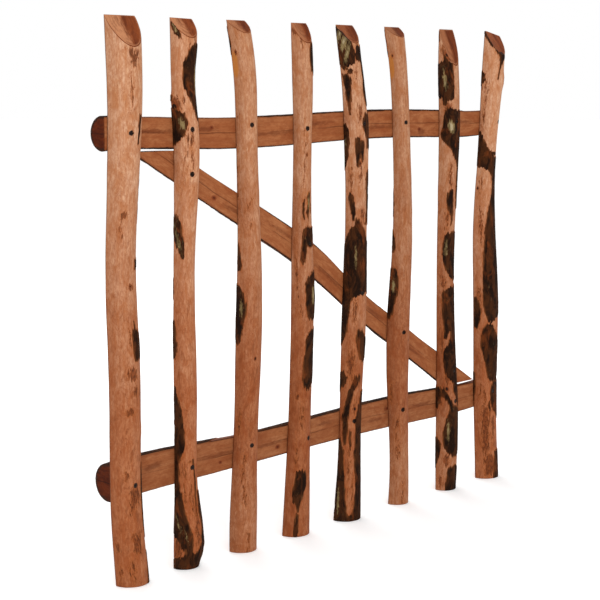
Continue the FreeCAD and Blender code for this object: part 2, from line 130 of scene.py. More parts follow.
# ---- marks on the logs ----
# Bark that was left on, in millimetres, each patch as rows (height, left edge, right edge) from the top down.
# The edges are measured round the log from its crown, minus to the left as seen from the front. On a rail the
# height is the way from its left end.
BARK = {
    "picket_1": [[(748, 9, 18), (735, 7, 14), (715, 8, 12), (703, 7, 10)], [(526, 10, 20), (510, 9, 18)],
        [(428, 2, 5), (415, 1, 7), (408, 0, 20), (378, 1, 24), (367, 3, 20)], [(660, 30, 40), (600, 26, 40),
        (560, 31, 40)], [(200, 17, 30), (150, 14, 40), (120, 16, 40), (80, 18, 40)], [(52, 20, 40),
        (20, 17, 40), (-10, 13, 40)]],
    "picket_2": [[(893, -37, -33), (884, -36, -24), (874, -30, -19), (866, -23, -18)], [(857, 3, 45),
        (845, -7, 45), (825, -14, 45), (792, -13, 45), (775, -4, 45), (755, 3, 45), (738, 11, 45),
        (722, 22, 45)], [(778, -40, -30), (770, -42, -32), (766, -42, -38)], [(756, -44, -26),
        (748, -42, -13), (733, -44, -11), (724, -42, -14), (714, -40, -18), (700, -40, -30)],
        [(590, -34, -29), (575, -36, -20), (560, -35, -17), (545, -31, -15), (530, -24, -13),
        (517, -17, -13)], [(484, -34, -31), (450, -34, -31)], [(416, -37, -31), (405, -37, -28),
        (380, -37, -26), (365, -37, -27), (352, -36, -30)], [(310, -36, -33), (290, -36, -27),
        (270, -36, -21), (250, -35, -17), (230, -35, -15), (205, -35, -16), (190, -36, -21), (175, -37, -25),
        (150, -38, -25), (125, -40, -22), (100, -44, -20), (75, -46, -14), (60, -46, -11), (45, -33, -9),
        (30, -22, -9), (12, -21, -8)], [(183, -2, 2), (165, 1, 4), (150, 2, 4), (125, 1, 4), (88, 1, 3)],
        [(130, 9, 20), (100, 6, 40), (70, 12, 40), (40, 8, 40), (26, -4, 40), (18, -50, 45), (-10, -50, 45)]],
    "picket_3": [[(892, -40, -36), (850, -40, -34), (842, -38, -36)], [(530, -38, -34), (510, -38, -31),
        (495, -39, -29), (483, -38, -33)], [(459, -42, -36), (452, -45, -28), (440, -46, -24),
        (425, -46, -21), (410, -46, -22), (395, -46, -25), (380, -46, -29), (365, -44, -31), (358, -42, -37)],
        [(760, 27, 40), (700, 22, 40), (640, 30, 40)], [(360, 30, 45), (300, 26, 45), (220, 32, 45)]],
    "picket_4": [[(866, 6, 40), (855, 2, 40), (835, 1, 40), (820, 5, 40), (812, 14, 40)], [(600, -10, -8),
        (582, -13, -8), (565, -12, -9)], [(611, 0, 3), (598, -4, 3), (586, -2, 2), (574, -5, 0),
        (560, -3, -1)], [(590, 4, 6), (574, 3, 5)], [(548, -9, 40), (535, -12, 40), (522, -10, 40),
        (514, -4, 40)], [(532, -13, -5), (520, -15, -5), (505, -17, -7), (492, -18, -9), (482, -16, -12)],
        [(471, 8, 40), (461, -6, 40), (450, -11, 40), (430, -11, 40), (410, -10, 40), (395, -6, 40),
        (386, -2, 6)], [(370, 2, 20), (361, -6, 36), (348, -10, 36), (330, -10, 36), (310, -12, 36),
        (295, -14, 36), (280, -13, 20), (268, -9, 6), (261, -5, 2)], [(119, -19, -2), (108, -22, 0),
        (92, -25, 0), (78, -26, -5), (64, -25, -10), (54, -19, -13), (46, -17, -15)], [(43, -19, -16),
        (30, -21, -14), (15, -23, -15), (-10, -25, -17)], [(760, 28, 40), (690, 22, 40), (640, 28, 40)],
        [(230, 30, 44), (150, 24, 44), (60, 30, 44)]],
    "picket_5": [[(897, -42, -26), (885, -42, -16), (870, -42, -10), (855, -41, -6), (840, -40, -7),
        (830, -38, -9), (824, -34, -28), (821, -25, -14), (814, -20, -17)], [(863, -3, 40), (850, -5, 40),
        (840, -4, 40), (831, 7, 40), (800, 7, 40), (775, 3, 40), (757, 10, 40)], [(814, -35, -22),
        (802, -34, -18), (785, -32, -20), (770, -31, -23), (755, -29, -24), (741, -27, -25)], [(745, 4, 40),
        (735, -3, 40), (722, -4, 40), (702, 2, 40), (680, 6, 40)], [(724, -47, -36), (712, -47, -30),
        (690, -47, -31), (665, -47, -33), (650, -47, -37), (640, -47, -42)], [(704, -17, -12), (690, -20, -9),
        (678, -20, -10), (660, -19, -12), (648, -18, -15)], [(696, -9, -3), (684, -11, -2), (670, -10, -4),
        (658, -8, -5)], [(642, 6, 12), (625, 3, 14), (600, 5, 13), (570, 7, 40), (545, 2, 40)],
        [(602, -32, -24), (585, -30, -20), (570, -27, -18), (554, -24, -19)], [(556, -16, -12),
        (545, -20, -5), (530, -30, 4), (515, -37, 12), (495, -44, 40), (450, -46, 40), (435, -46, 40),
        (424, -46, 30), (414, -46, -20), (405, -46, -24), (380, -46, -27), (350, -46, -30), (335, -46, -37),
        (322, -46, -41)], [(353, -12, 0), (340, -14, 10), (325, -11, 30), (310, -8, 30), (296, -3, 10)],
        [(279, -44, -34), (265, -45, -26), (255, -44, -27), (245, -43, -35), (237, -42, -38)], [(269, -12, 2),
        (258, -16, 0), (245, -20, -8), (232, -24, -13), (220, -27, -17), (195, -31, -19), (165, -29, -20),
        (140, -27, -24)], [(168, -17, -13), (150, -18, -14), (132, -16, -14)], [(238, 5, 40), (210, -2, 40),
        (185, -7, 40), (165, -4, 40), (140, -6, 40), (120, -8, 40), (90, -6, 40), (60, -4, 40), (30, -7, 40),
        (10, -13, 40), (6, -50, 50), (-10, -50, 50)], [(152, -47, -33), (130, -47, -27), (90, -47, -25),
        (40, -47, -23), (20, -47, -20), (4, -47, -15), (-10, -47, -10)]],
    "picket_6": [[(892, -38, -34), (850, -38, -32), (842, -36, -34)], [(604, -39, -34), (575, -38, -32),
        (548, -38, -34)], [(524, -38, -34), (505, -38, -29), (492, -38, -27), (482, -37, -32)],
        [(457, -42, -34), (450, -44, -26), (438, -45, -22), (424, -46, -20), (410, -46, -21), (395, -46, -25),
        (380, -45, -28), (366, -43, -32), (359, -41, -36)], [(700, 26, 40), (640, 22, 40), (590, 28, 40)],
        [(280, 30, 45), (220, 24, 45), (150, 30, 45)]],
    "picket_7": [[(896, -37, -32), (876, -37, -34)], [(848, -25, -21), (839, -27, -18), (834, -46, -9),
        (822, -46, -8), (800, -46, -7), (780, -46, -7), (773, -46, -8), (768, -33, -11), (762, -31, -22),
        (754, -29, -26)], [(753, -21, -17), (747, -25, -3), (742, -27, 40), (720, -30, 40), (702, -34, 40),
        (690, -31, 40), (680, -20, 40), (668, -11, 40), (655, -4, 40), (638, 6, 40), (600, 3, 40),
        (560, 6, 40)], [(593, -14, -4), (575, -17, -2), (560, -15, -2), (548, -8, -1), (528, -6, -4)],
        [(513, -10, 8), (505, -18, 30), (490, -22, 40), (470, -21, 40), (455, -20, 40), (440, -15, 40),
        (428, -6, 40), (420, 3, 40)], [(407, -4, 40), (398, -20, 40), (375, -22, 40), (345, -21, 40),
        (330, -19, 40), (319, -19, -8), (303, -19, -14)], [(332, -6, 40), (310, -4, 40), (295, -10, 40),
        (280, -20, 40), (260, -23, 40), (240, -21, 40), (225, -12, 40), (215, -2, 40), (200, -4, 40),
        (186, 2, 40), (170, 10, 40)], [(209, -43, -30), (198, -45, -26), (188, -46, -28), (175, -46, -33),
        (163, -46, -39)], [(207, -27, -23), (195, -26, -17), (185, -23, -10), (175, -17, -5), (164, -12, -1)],
        [(169, -10, 8), (155, -17, 20), (140, -21, 26), (120, -26, 26), (100, -27, 26), (85, -23, 24),
        (75, -14, 16), (67, -6, 6)], [(109, -46, -40), (95, -46, -30), (75, -46, -32), (55, -46, -38),
        (44, -45, -41)], [(49, -12, 6), (38, -17, 26), (15, -18, 28), (-10, -20, 28)]],
    "picket_8": [[(910, -50, -14), (899, -47, -18), (891, -41, -18), (882, -34, -11), (870, -25, 0),
        (861, -17, 6), (855, -12, 12), (848, -8, 10), (840, -7, 4), (826, -7, -3), (808, -9, -6)],
        [(821, -47, -42), (817, -47, -33), (808, -47, -36), (803, -47, -32), (799, -47, -39),
        (788, -42, -38)], [(712, -47, -42), (704, -47, -34), (695, -47, -27), (680, -47, -20),
        (668, -47, -12), (660, -46, 12), (655, -45, -4), (646, -42, 40), (636, -37, 40), (632, -24, 40),
        (626, -12, 40), (618, -4, 40), (600, -1, 40), (575, -4, 40), (555, -10, 40), (535, -13, 40),
        (505, -19, 40), (480, -21, 40), (450, -25, 40), (400, -27, 40), (375, -28, 40), (360, -28, 40),
        (350, -26, 30), (336, -21, 16), (326, -18, -8)], [(374, -47, -40), (360, -47, -34), (345, -47, -30),
        (330, -47, -33), (314, -47, -39)], [(322, -20, -8), (312, -27, -4), (300, -31, 6), (285, -32, 14),
        (270, -31, 18), (255, -26, 18), (240, -21, 18), (225, -19, 16), (212, -17, 12), (203, -10, 6)],
        [(202, -4, 30), (185, -10, 30), (165, -9, 30), (150, -6, 30), (138, 3, 30), (126, 10, 30)],
        [(162, -14, -11), (150, -14, -9), (140, -12, -10)], [(222, -48, -42), (190, -48, -41),
        (162, -48, -43)], [(58, 2, 30), (40, -2, 30), (20, -4, 30), (-10, -6, 30)]],
    "top_rail": [[(990, -60, -33), (860, -60, -36), (700, -60, -30), (560, -60, -37), (400, -60, -32),
        (240, -60, -36), (120, -60, -22), (-10, -60, -20)], [(900, 14, 60), (820, 20, 60), (700, 30, 60),
        (640, 24, 60), (520, 36, 60), (470, 22, 60), (330, 26, 60)], [(420, -18, 2), (360, -26, 8),
        (280, -20, 10), (240, -12, 4)], [(178, 4, 8), (160, -4, 14), (135, -14, 20), (90, -22, 26),
        (30, -24, 60), (-10, -26, 60)]],
    "bottom_rail": [[(990, -60, -30), (880, -60, -36), (730, -60, -28), (600, -60, -37), (430, -60, -31),
        (260, -60, -36), (120, -60, -24), (-10, -60, -22)], [(870, 18, 60), (780, 26, 60), (640, 34, 60),
        (560, 20, 60), (420, 28, 60), (300, 40, 60)], [(700, -20, 6), (640, -12, 14), (560, -16, 10),
        (510, -8, 0)], [(272, 18, 22), (250, 8, 30), (228, 2, 42), (200, -12, 60), (150, -20, 60),
        (70, -24, 60), (-10, -28, 60)]],
    "diagonal_brace": [[(990, -60, -30), (820, -60, -34), (640, -60, -28), (470, -60, -35), (300, -60, -29),
        (130, -60, -34), (-40, -60, -30)], [(900, 20, 60), (760, 30, 60), (600, 26, 60), (480, 36, 60),
        (360, 24, 60), (200, 32, 60)], [(760, -14, 12), (700, -20, 18), (620, -12, 14), (560, -4, 6)],
        [(300, -16, 6), (240, -20, 14), (150, -10, 8)]],
}
# Paler places in the bark, of lichen or silvery wood, as ovals: middle height, middle place round the log,
# half length, half width and, where there is one, the lean to the right for each millimetre of height.
PALE = {
    "picket_2": [(880, -28, 9, 3, -0.5), (733, -20, 13, 4.5, -0.1), (552, -26, 26, 3, -0.3),
        (535, -19, 14, 2, -0.2), (78, -33, 16, 2.5, -0.3), (56, -20, 16, 2, -0.3), (800, 12, 26, 3)],
    "picket_3": [(421, -31, 16, 4), (828, -30, 21, 5)],
    "picket_4": [(592, 0, 16, 3), (430, 8, 20, 5)],
    "picket_5": [(882, -31, 18, 6, 0.5), (872, -22, 20, 6, 0.4), (850, -20, 22, 4.5, 0.3), (485, -16, 22, 3),
        (690, -38, 10, 2), (40, -38, 30, 3)],
    "picket_6": [(421, -30, 15, 4), (826, -28, 20, 5)],
    "picket_7": [(800, -25, 17, 4.5, -0.1), (820, -27, 12, 2.5), (716, -13, 14, 8, -0.2), (484, -14, 18, 4),
        (120, -16, 24, 4)],
}
# Brown stains, scars and wounds in the peeled wood, as ovals in the same way.
SCARS = {
    "picket_1": [(835, -2, 16, 6, -0.3), (840, 6, 8, 3), (780, -6, 20, 1.6), (595, -12, 6, 5),
        (575, -18, 10, 2), (482, 0, 5, 5), (400, -4, 10, 2), (345, -2, 11, 9), (318, 4, 8, 6),
        (285, -8, 6, 8), (185, -14, 7, 5), (145, -3, 22, 8, 0.1), (150, 6, 16, 6), (72, -2, 18, 9),
        (66, -36, 7, 5), (24, -34, 10, 4), (26, -14, 16, 4)],
    "picket_2": [(762, -28, 14, 10), (768, -14, 6, 3), (706, -6, 10, 4), (690, -14, 22, 1.4, 0.1),
        (676, -4, 26, 1.2), (870, 6, 18, 4, -0.5), (862, -4, 10, 1.5), (182, -4, 3, 4), (120, -6, 20, 3),
        (34, -34, 16, 8), (70, 2, 40, 5), (145, -18, 30, 2)],
    "picket_3": [(847, -26, 3, 2.4), (222, -29, 16, 3), (158, -18, 14, 4), (130, -21, 10, 1.6),
        (104, -17, 17, 3.4), (600, -10, 8, 1.6, 0.5), (560, -12, 6, 1.4, 0.5), (740, -30, 5, 1.2),
        (20, -8, 16, 2), (660, -34, 40, 1.2)],
    "picket_4": [(884, -26, 6, 8), (871, -14, 8, 3), (674, -4, 4, 2.5), (690, -8, 14, 1.2), (650, -8, 12, 1),
        (212, -12, 20, 2.4), (250, -21, 5, 4), (140, -20, 16, 1.6), (470, -26, 30, 1.2), (400, -18, 14, 3)],
    "picket_5": [(840, -4, 30, 2, 0.2), (742, -8, 16, 4), (640, -10, 24, 3), (620, -28, 20, 3),
        (560, -4, 14, 6), (390, -16, 20, 4), (290, -20, 26, 6), (205, -8, 16, 3), (100, -18, 40, 2),
        (50, -10, 30, 2)],
    "picket_6": [(847, -24, 3, 2.4), (222, -30, 16, 3), (158, -18, 14, 4), (130, -21, 10, 1.6),
        (104, -17, 17, 3.4), (650, -14, 5, 1.4, 0.5), (20, -8, 16, 2)],
    "picket_7": [(850, -18, 12, 12), (860, -28, 8, 4), (750, -20, 10, 8), (620, -10, 20, 4),
        (560, -34, 20, 2), (540, -14, 20, 3), (415, -20, 12, 6), (300, -24, 20, 3), (225, -16, 12, 5),
        (186, -34, 22, 5), (60, -20, 12, 6), (20, -30, 14, 5)],
    "picket_8": [(780, -32, 20, 1.6), (765, -28, 22, 1.2, 0.05), (728, -30, 10, 2), (600, -24, 10, 4),
        (584, -30, 12, 1.6, 0.3), (520, -26, 30, 3), (380, -36, 16, 4), (182, -30, 10, 2), (172, -22, 8, 1.6),
        (100, -20, 60, 9), (30, -14, 26, 12), (110, -2, 30, 4)],
}
# Knots and branch stubs: height, place round the picket, radius and how far they stand out.
KNOTS = {
    "picket_1": [(484, 0, 2, 0.2), (252, 26, 5, 1)],
    "picket_2": [(772, -35, 4, 1.2), (758, -30, 8, 2), (30, 22, 7, 2)],
    "picket_3": [(847, -26, 2, 0.2), (335, -4, 3.2, 0.3), (610, 28, 6, 1.2)],
    "picket_4": [(874, -14, 3, 0.6), (674, -4, 2.2, 0.3), (420, 26, 6, 1.4)],
    "picket_5": [(655, -12, 4, 0.8), (208, -8, 4, 0.6), (730, 26, 6, 1.2)],
    "picket_6": [(847, -24, 2, 0.2), (560, 26, 5, 1)],
    "picket_7": [(850, -20, 5, 1), (205, -18, 5, 1), (560, 28, 6, 1.2)],
    "picket_8": [(803, 18, 6, 3), (592, -32, 3, 0.5), (262, -18, 4, 0.6)],
    "top_rail": [(330, 10, 7, 1.2), (690, -12, 6, 1)],
    "bottom_rail": [(240, -8, 8, 1.2), (730, 16, 6, 1)],
    "diagonal_brace": [(280, 12, 7, 1.2), (620, -14, 6, 1)],
}
# The same on the sawn faces: the place is measured across the face from its middle, and knots lie flush.
FLAT_SCARS = {
    "top_rail": [(96, 2, 34, 2.5), (214, 6, 18, 3), (360, -4, 40, 1.6), (480, 8, 26, 2), (770, -16, 9, 5),
        (648, -6, 30, 2), (900, 4, 20, 2)],
    "bottom_rail": [(88, 8, 18, 4, 0.1), (230, 2, 40, 2), (352, -2, 30, 1.6), (500, 10, 16, 2.4),
        (640, -8, 22, 2), (672, 8, 4, 6), (780, 4, 26, 2)],
    "diagonal_brace": [(70, 4, 30, 3), (210, -6, 26, 3, 0.1), (330, 8, 30, 2), (470, -4, 34, 2),
        (620, 6, 24, 3), (760, -6, 26, 2)],
    "picket_1": [(700, 6, 40, 2), (330, -8, 50, 2)],
    "picket_2": [(600, -4, 50, 2), (90, 4, 40, 5)],
    "picket_4": [(640, 4, 30, 3), (260, -6, 40, 2)],
    "picket_5": [(480, 6, 60, 4), (60, 0, 50, 8)],
    "picket_7": [(560, -5, 40, 3), (200, 6, 30, 3)],
    "picket_8": [(420, 8, 60, 4), (80, -4, 60, 6)],
}
FLAT_KNOTS = {
    "top_rail": [(226, 9, 3), (764, -11, 3.5), (552, 10, 3)],
    "bottom_rail": [(379, -10, 4), (676, 9, 3), (240, -12, 3)],
    "diagonal_brace": [(150, -8, 4), (560, 6, 4), (700, -7, 3)],
    "picket_1": [(484, -3, 5), (252, 8, 4)],
    "picket_2": [(765, 6, 6)],
    "picket_3": [(335, 0, 4)],
    "picket_4": [(672, 2, 3), (420, -6, 4)],
    "picket_5": [(655, 4, 4)],
    "picket_6": [(560, -6, 4)],
    "picket_7": [(848, 6, 4), (205, 3, 4)],
    "picket_8": [(803, -8, 5), (262, 6, 4)],
}
# How light and how red each log is beside the others, how much less dark and red its foot is (painted shade
# and weathering), and how strongly the left of its slanted top shows paler wood.
TINTS = {
    "picket_1": (1.01, 0, 0, 0.85), "picket_2": (1.04, 0.15, 0, 0.8),
    "picket_3": (0.91, 0.32, 0.4, 0.8), "picket_4": (0.89, 0.32, 0, 0.7),
    "picket_5": (0.98, 0.05, 0.05, 0.2), "picket_6": (0.86, 0.36, 0.55, 0.7),
    "picket_7": (0.89, 0.25, 0.55, 0.5), "picket_8": (1.08, 0, 0, 0.1),
    "top_rail": (0.65, 0.9, 0, 0), "bottom_rail": (0.6, 0.75, 0, 0),
    "diagonal_brace": (0.65, 0.85, 0, 0),
}


# ---- reading a log from its CAD node ----
JOINT_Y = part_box("picket_1")[1].y
X, Y, Z = np.eye(3)


def middle_at(tree, low, high, y, z):
    """The x half way between the points where level rays from both sides first meet the log."""
    left = tree.ray_cast(Vector((low.x - FAR, y, z)), Vector(X))[0]
    right = tree.ray_cast(Vector((high.x + FAR, y, z)), Vector(-X))[0]
    return (left.x + right.x) / 2


def brace_line(tree, low, high):
    """The brace's direction and a point on it, from the middles of its two level ends."""
    middles = []
    for height in (high.z - 0.5 * MM, low.z + 0.5 * MM):
        middle = middle_at(tree, low, high, JOINT_Y + BRACE_HEART, height)
        middles.append(np.array([middle, JOINT_Y, height]))
    run = middles[1] - middles[0]
    return middles[0], run / np.linalg.norm(run)


def cut_plane(tree, low, high):
    """The slanted top of a picket: a point on it and its normal, from three rays cast down on it."""
    middle = middle_at(tree, low, high, JOINT_Y - 1.2 * PICKET_HEART, high.z - TOP_DROP)
    hits = []
    for side, out in TOP_PROBES:
        start = Vector((middle + side, JOINT_Y - out, high.z + FAR))
        hits.append(np.array(tree.ray_cast(start, Vector(-Z))[0]))
    normal = np.cross(hits[1] - hits[0], hits[2] - hits[0])
    normal *= np.sign(normal[2]) / np.linalg.norm(normal)
    return hits[0], normal


class Log:
    """A split log as the CAD node has it: its frame, its end planes, and its middle and radius along it."""

    def __init__(self, name):
        self.name = name
        self.tree = BVHTree.FromObject(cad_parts[name], bpy.context.evaluated_depsgraph_get())
        low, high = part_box(name)
        self.origin = JOINT_Y * Y
        self.longest = np.inf
        if name.startswith("picket"):
            self.along, self.side, self.out, self.heart = Z, X, -Y, PICKET_HEART
            self.ends = [(0 * Z, -Z), cut_plane(self.tree, low, high)]
            self.longest = high.z
        elif name.endswith("rail"):
            self.along, self.side, self.out, self.heart = X, Z, Y, RAIL_HEART
            self.ends = [(low.x * X, -X), (high.x * X, X)]
        else:
            self.origin, self.along = brace_line(self.tree, low, high)
            self.side, self.out, self.heart = np.cross(self.along, Y), Y, BRACE_HEART
            self.ends = [(high.z * Z, Z), (low.z * Z, -Z)]
        self.measure(((low + high) / 2 - Vector(self.origin)).dot(Vector(self.side)))

    def place(self, along, side, out):
        """World points from log coordinates."""
        return (self.origin + np.multiply.outer(along, self.along) + np.multiply.outer(side, self.side)
                + np.multiply.outer(out, self.out))

    def reach(self, end, side, out):
        """How far along the log an end plane lies at the given place across it."""
        point, normal = self.ends[end]
        above = (self.place(np.zeros_like(side), side, out) - point) @ normal
        return np.minimum(-above / (self.along @ normal), self.longest)

    def measure(self, about):
        """Middle and radius of the log at even steps, run on past both ends. Its middle lies near about."""
        zero = np.zeros(1)
        heart = zero + self.heart
        lows, highs = ([self.reach(end, zero + s, heart)[0] for s in (about - ASIDE, about + ASIDE)]
                       for end in (0, 1))
        places = np.arange(max(lows) + 2 * MM, min(highs) - 2 * MM, SAMPLE_STEP)
        side = Vector(self.side)
        lefts, rights = [], []
        for along in places:
            start = Vector(self.place(along, -FAR, self.heart))
            lefts.append((self.tree.ray_cast(start, side)[0] - start).length - FAR)
            start = Vector(self.place(along, FAR, self.heart))
            rights.append(FAR - (self.tree.ray_cast(start, -side)[0] - start).length)
        middles = (np.array(rights) + np.array(lefts)) / 2
        radii = (np.array(rights) - np.array(lefts)) / 2
        self.places = np.concatenate([[places[0] - RUN_ON], places, [places[-1] + RUN_ON]])
        self.middles = run_past(places, middles)
        self.radii = run_past(places, radii)

    def section(self, along):
        """Middle and radius at any place along the log."""
        return np.interp(along, self.places, self.middles), np.interp(along, self.places, self.radii)


def run_past(places, values):
    """The values smoothed a little, with one more at each end in line with the last few."""
    values = np.convolve(np.pad(values, 1, mode="edge"), [0.25, 0.5, 0.25], mode="valid")
    back = 4
    first = values[0] - (values[back] - values[0]) / (places[back] - places[0]) * RUN_ON
    last = values[-1] + (values[-1] - values[-1 - back]) / (places[-1] - places[-1 - back]) * RUN_ON
    return np.concatenate([[first], values, [last]])


# ---- screws ----
def screw_heads():
    """Each screw's x, z and the y of its head's flat, and the heads' radius, from the CAD nodes' meshes."""
    heads = []
    for name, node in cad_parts.items():
        if not name.endswith("screws"):
            continue
        points = np.array([v.co for v in node.data.vertices])
        while len(points):
            near = np.hypot(*(points - points[0])[:, [0, 2]].T) < SCREW_SPREAD
            own, points = points[near], points[~near]
            middle = (own.min(0) + own.max(0)) / 2
            heads.append((middle[0], middle[2], own[:, 1].min()))
            radius = np.ptp(own[:, 0]) / 2
    return heads, radius


SCREWS, SCREW_HEAD = screw_heads()
SCREW_HOLE = SCREW_HEAD + SCREW_GAP


# ---- marks ----
def oval_level(oval, high, round_):
    """How far inside an oval mark each point is, in millimetres: plus inside, minus outside."""
    at, middle, half_length, half_width, lean = (*oval, 0)[:5]
    rise = (high - at) / half_length
    across = (round_ - middle - lean * (high - at)) / half_width
    return (1 - (np.abs(rise) ** 3 + np.abs(across) ** 2.2) ** 0.4) * half_width


def patch_level(rows, high, round_):
    """The same for a patch of bark given by its rows."""
    heights, lefts, rights = np.array(rows[::-1], float).T
    left, right = np.interp(high, heights, lefts), np.interp(high, heights, rights)
    inside = np.minimum(high - heights[0], heights[-1] - high)
    return np.minimum(np.minimum(round_ - left, right - round_), inside)


def marks_level(marks, level_of, high, round_, fray, seed):
    """The highest level of several marks, with edges frayed as much as fray says."""
    spot = np.stack([high, round_, np.zeros_like(high)], axis=-1).reshape(-1, 3)

    def waves(long, wide, step):
        return noise(spot / [long, wide, 1], seed + step).reshape(high.shape)

    torn = fray * (7 * waves(60, 2.6, 0) + 4 * waves(24, 1.5, 1))
    sway = fray * (2.0 * waves(22, 12, 2) + 1.3 * waves(8, 4, 3))
    level = np.full(high.shape, NOWHERE)
    for mark in marks:
        level = np.maximum(level, level_of(mark, high + torn, round_ + sway))
    return level


def knot_field(knots, high, round_):
    """Height of the swelling round knots, in millimetres, and how deep in a knot each point is, 0 to 1."""
    swell, inside = np.zeros_like(high), np.zeros_like(high)
    for knot in knots:
        at, middle, radius, height = (*knot, 0)[:4]
        away = np.hypot((high - at) / 1.4, round_ - middle) / radius
        swell += height * np.exp(-(away / 1.7) ** 2) - 0.6 * height * np.exp(-(away / 0.45) ** 2)
        inside = np.maximum(inside, np.clip(1.35 - away, 0, 1))
    return swell, inside


# ---- building a log's mesh ----
def add_object(name, data):
    made = bpy.data.objects.new(name, data)
    bpy.context.scene.collection.objects.link(made)
    return made


def build_log(name, seed):
    """A closed mesh of one split log, with its relief and with what its materials read."""
    log = Log(name)
    arc = np.linspace(-1, 1, ARC_POINTS)
    flat = np.linspace(1, -1, FLAT_POINTS + 2)[1:-1]
    is_arc = np.concatenate([np.ones(ARC_POINTS, bool), np.zeros(FLAT_POINTS, bool)])
    share = np.concatenate([arc, flat])

    def outline(along):
        """Sideways and outward place of every column, and its distance round the log from the crown."""
        middle, radius = log.section(along)
        turn = np.pi / 2 + np.arcsin(log.heart / radius)
        width = np.sqrt(radius ** 2 - log.heart ** 2)
        side = np.where(is_arc, radius * np.sin(share * turn), share * width)
        out = np.where(is_arc, log.heart + radius * np.cos(share * turn), 0)
        flat_round = share * (turn * radius + (1 - np.abs(share)) * width)
        round_ = np.where(is_arc, share * turn * radius, flat_round)
        return middle, radius, side, out, round_

    ends = []
    for end in (0, 1):
        along = np.full(share.shape, log.places[-2 if end else 1])
        for _ in range(6):
            middle, _, side, out, _ = outline(along)
            along = log.reach(end, middle + side, out)
        ends.append(along)
    count = int(round(np.ptp([ends[0].mean(), ends[1].mean()]) / RING_STEP))
    steps = np.linspace(0, 1, count + 1)[:, None]
    along = ends[0] + (ends[1] - ends[0]) * steps
    middle, radius, side, out, round_ = outline(along)

    high, arc_mm = along / MM, round_ / MM
    if name.endswith("rail"):
        high = high - high.min()
    picket = name.startswith("picket")
    fray = 0.7 if picket else 1.5
    bark = marks_level(BARK[name], patch_level, high, arc_mm, fray, seed)
    pale = marks_level(PALE.get(name, []), oval_level, high, arc_mm, 0.5, seed + 5)
    scar = marks_level(SCARS.get(name, []), oval_level, high, arc_mm, 0.4, seed + 9)
    swell, knot = knot_field(KNOTS.get(name, []), high, arc_mm)
    across = np.broadcast_to(side / MM, high.shape)
    flat_scar = marks_level(FLAT_SCARS.get(name, []), oval_level, high, across, 0.3, seed + 13)
    scar = np.where(is_arc, scar, flat_scar)
    knot = np.where(is_arc, knot, knot_field(FLAT_KNOTS.get(name, []), high, across)[1])
    cover = np.where(is_arc, smooth(bark, -0.5, 0.6), 0)

    spot = np.stack([high, arc_mm, np.full_like(high, 31.0 * seed)], axis=-1).reshape(-1, 3)

    def waves(long, wide, step, octaves=0):
        """Relief noise with waves of the given lengths along and round the log, in millimetres."""
        scaled = spot * [1 / long, 1 / wide, 1]
        return (rough(scaled, octaves, step) if octaves else noise(scaled, step)).reshape(high.shape)

    lumps, flutes, fibres = waves(95, 34, seed, 2), waves(46, 7, seed + 20), waves(14, 1.9, seed + 21)
    flakes, saw_marks = waves(11, 4.5, seed + 22, 3), waves(3.1, 90, 5)
    calm = np.ones_like(high)
    world = log.place(along, middle + side, out)
    # Painted shade: each screw's countersink and a thin ring round it are painted near black.
    hole_shade = np.zeros_like(high)
    for x, z, head in SCREWS if picket else []:
        away = np.hypot(world[..., 0] - x, world[..., 2] - z)
        calm = np.minimum(calm, smooth(away, SCREW_HOLE, CALM * SCREW_HOLE))
        hole_shade = np.maximum(hole_shade, np.exp(-np.maximum(away - SCREW_HOLE, 0) / HOLE_SHADE_FADE))
    relief = -PEEL_DEPTH + MM * calm * (LUMPS * lumps + FLUTES * flutes + FIBRES * fibres + swell)
    relief += cover * (calm * BARK_HEIGHT + MM * FLAKES * flakes * calm)
    relief -= MM * SCAR_DEPTH * smooth(scar, -0.3, 1.0) * (1 - cover) * calm
    sawn_relief = FLAT_DEPTH + MM * (SAWN_LINES * fibres + SAWN_LINES * saw_marks)
    rim = 1 - np.abs(share)
    edge = np.clip(1 - rim * np.where(is_arc, HALF_ARC, HALF_FLAT) / WORN_WIDTH, 0, 1)
    relief -= EDGE_WEAR * edge * 0.8
    grow = np.where(is_arc, relief, 0)
    side = side + grow * side / radius
    out = out + grow * (out - log.heart) / radius + np.where(is_arc, 0, sawn_relief + EDGE_WEAR * edge)

    worn = along.copy()     # the first and last rows are drawn in, for worn edges
    worn[0] += EDGE_WEAR
    worn[-1] -= EDGE_WEAR
    points = log.place(worn, middle + side, out)
    if picket:
        points = countersink(points, is_arc)

    place = np.stack([along, np.where(is_arc, round_, side), np.full_like(along, 0.37 * seed)], axis=-1)
    values = {"bark": bark, "pale": pale, "scar": scar, "knot": knot, "hole_shade": np.where(is_arc, hole_shade, 0),
              "rim": np.broadcast_to(rim, high.shape), "log_place": place}
    return close_mesh(log, points, worn, middle, side, out, radius, is_arc, values, seed)


def countersink(points, is_arc):
    """Rounds the wood off at the rim of each screw hole and sinks what lies inside it."""
    for x, z, head in SCREWS:
        dx, dz = points[..., 0] - x, points[..., 2] - z
        away = np.hypot(dx, dz)
        front = is_arc & (points[..., 1] < JOINT_Y - ROUND_SIDE)
        rim = front & (np.abs(away - SCREW_HOLE) < SNAP)
        inner = front & (away <= SCREW_HOLE - SNAP)
        scale = np.where(rim, SCREW_HOLE / np.maximum(away, MM), 1)
        points[..., 0] = x + dx * scale
        points[..., 2] = z + dz * scale
        points[..., 1] = np.where(inner, head + SCREW_PIT, points[..., 1])
    return points


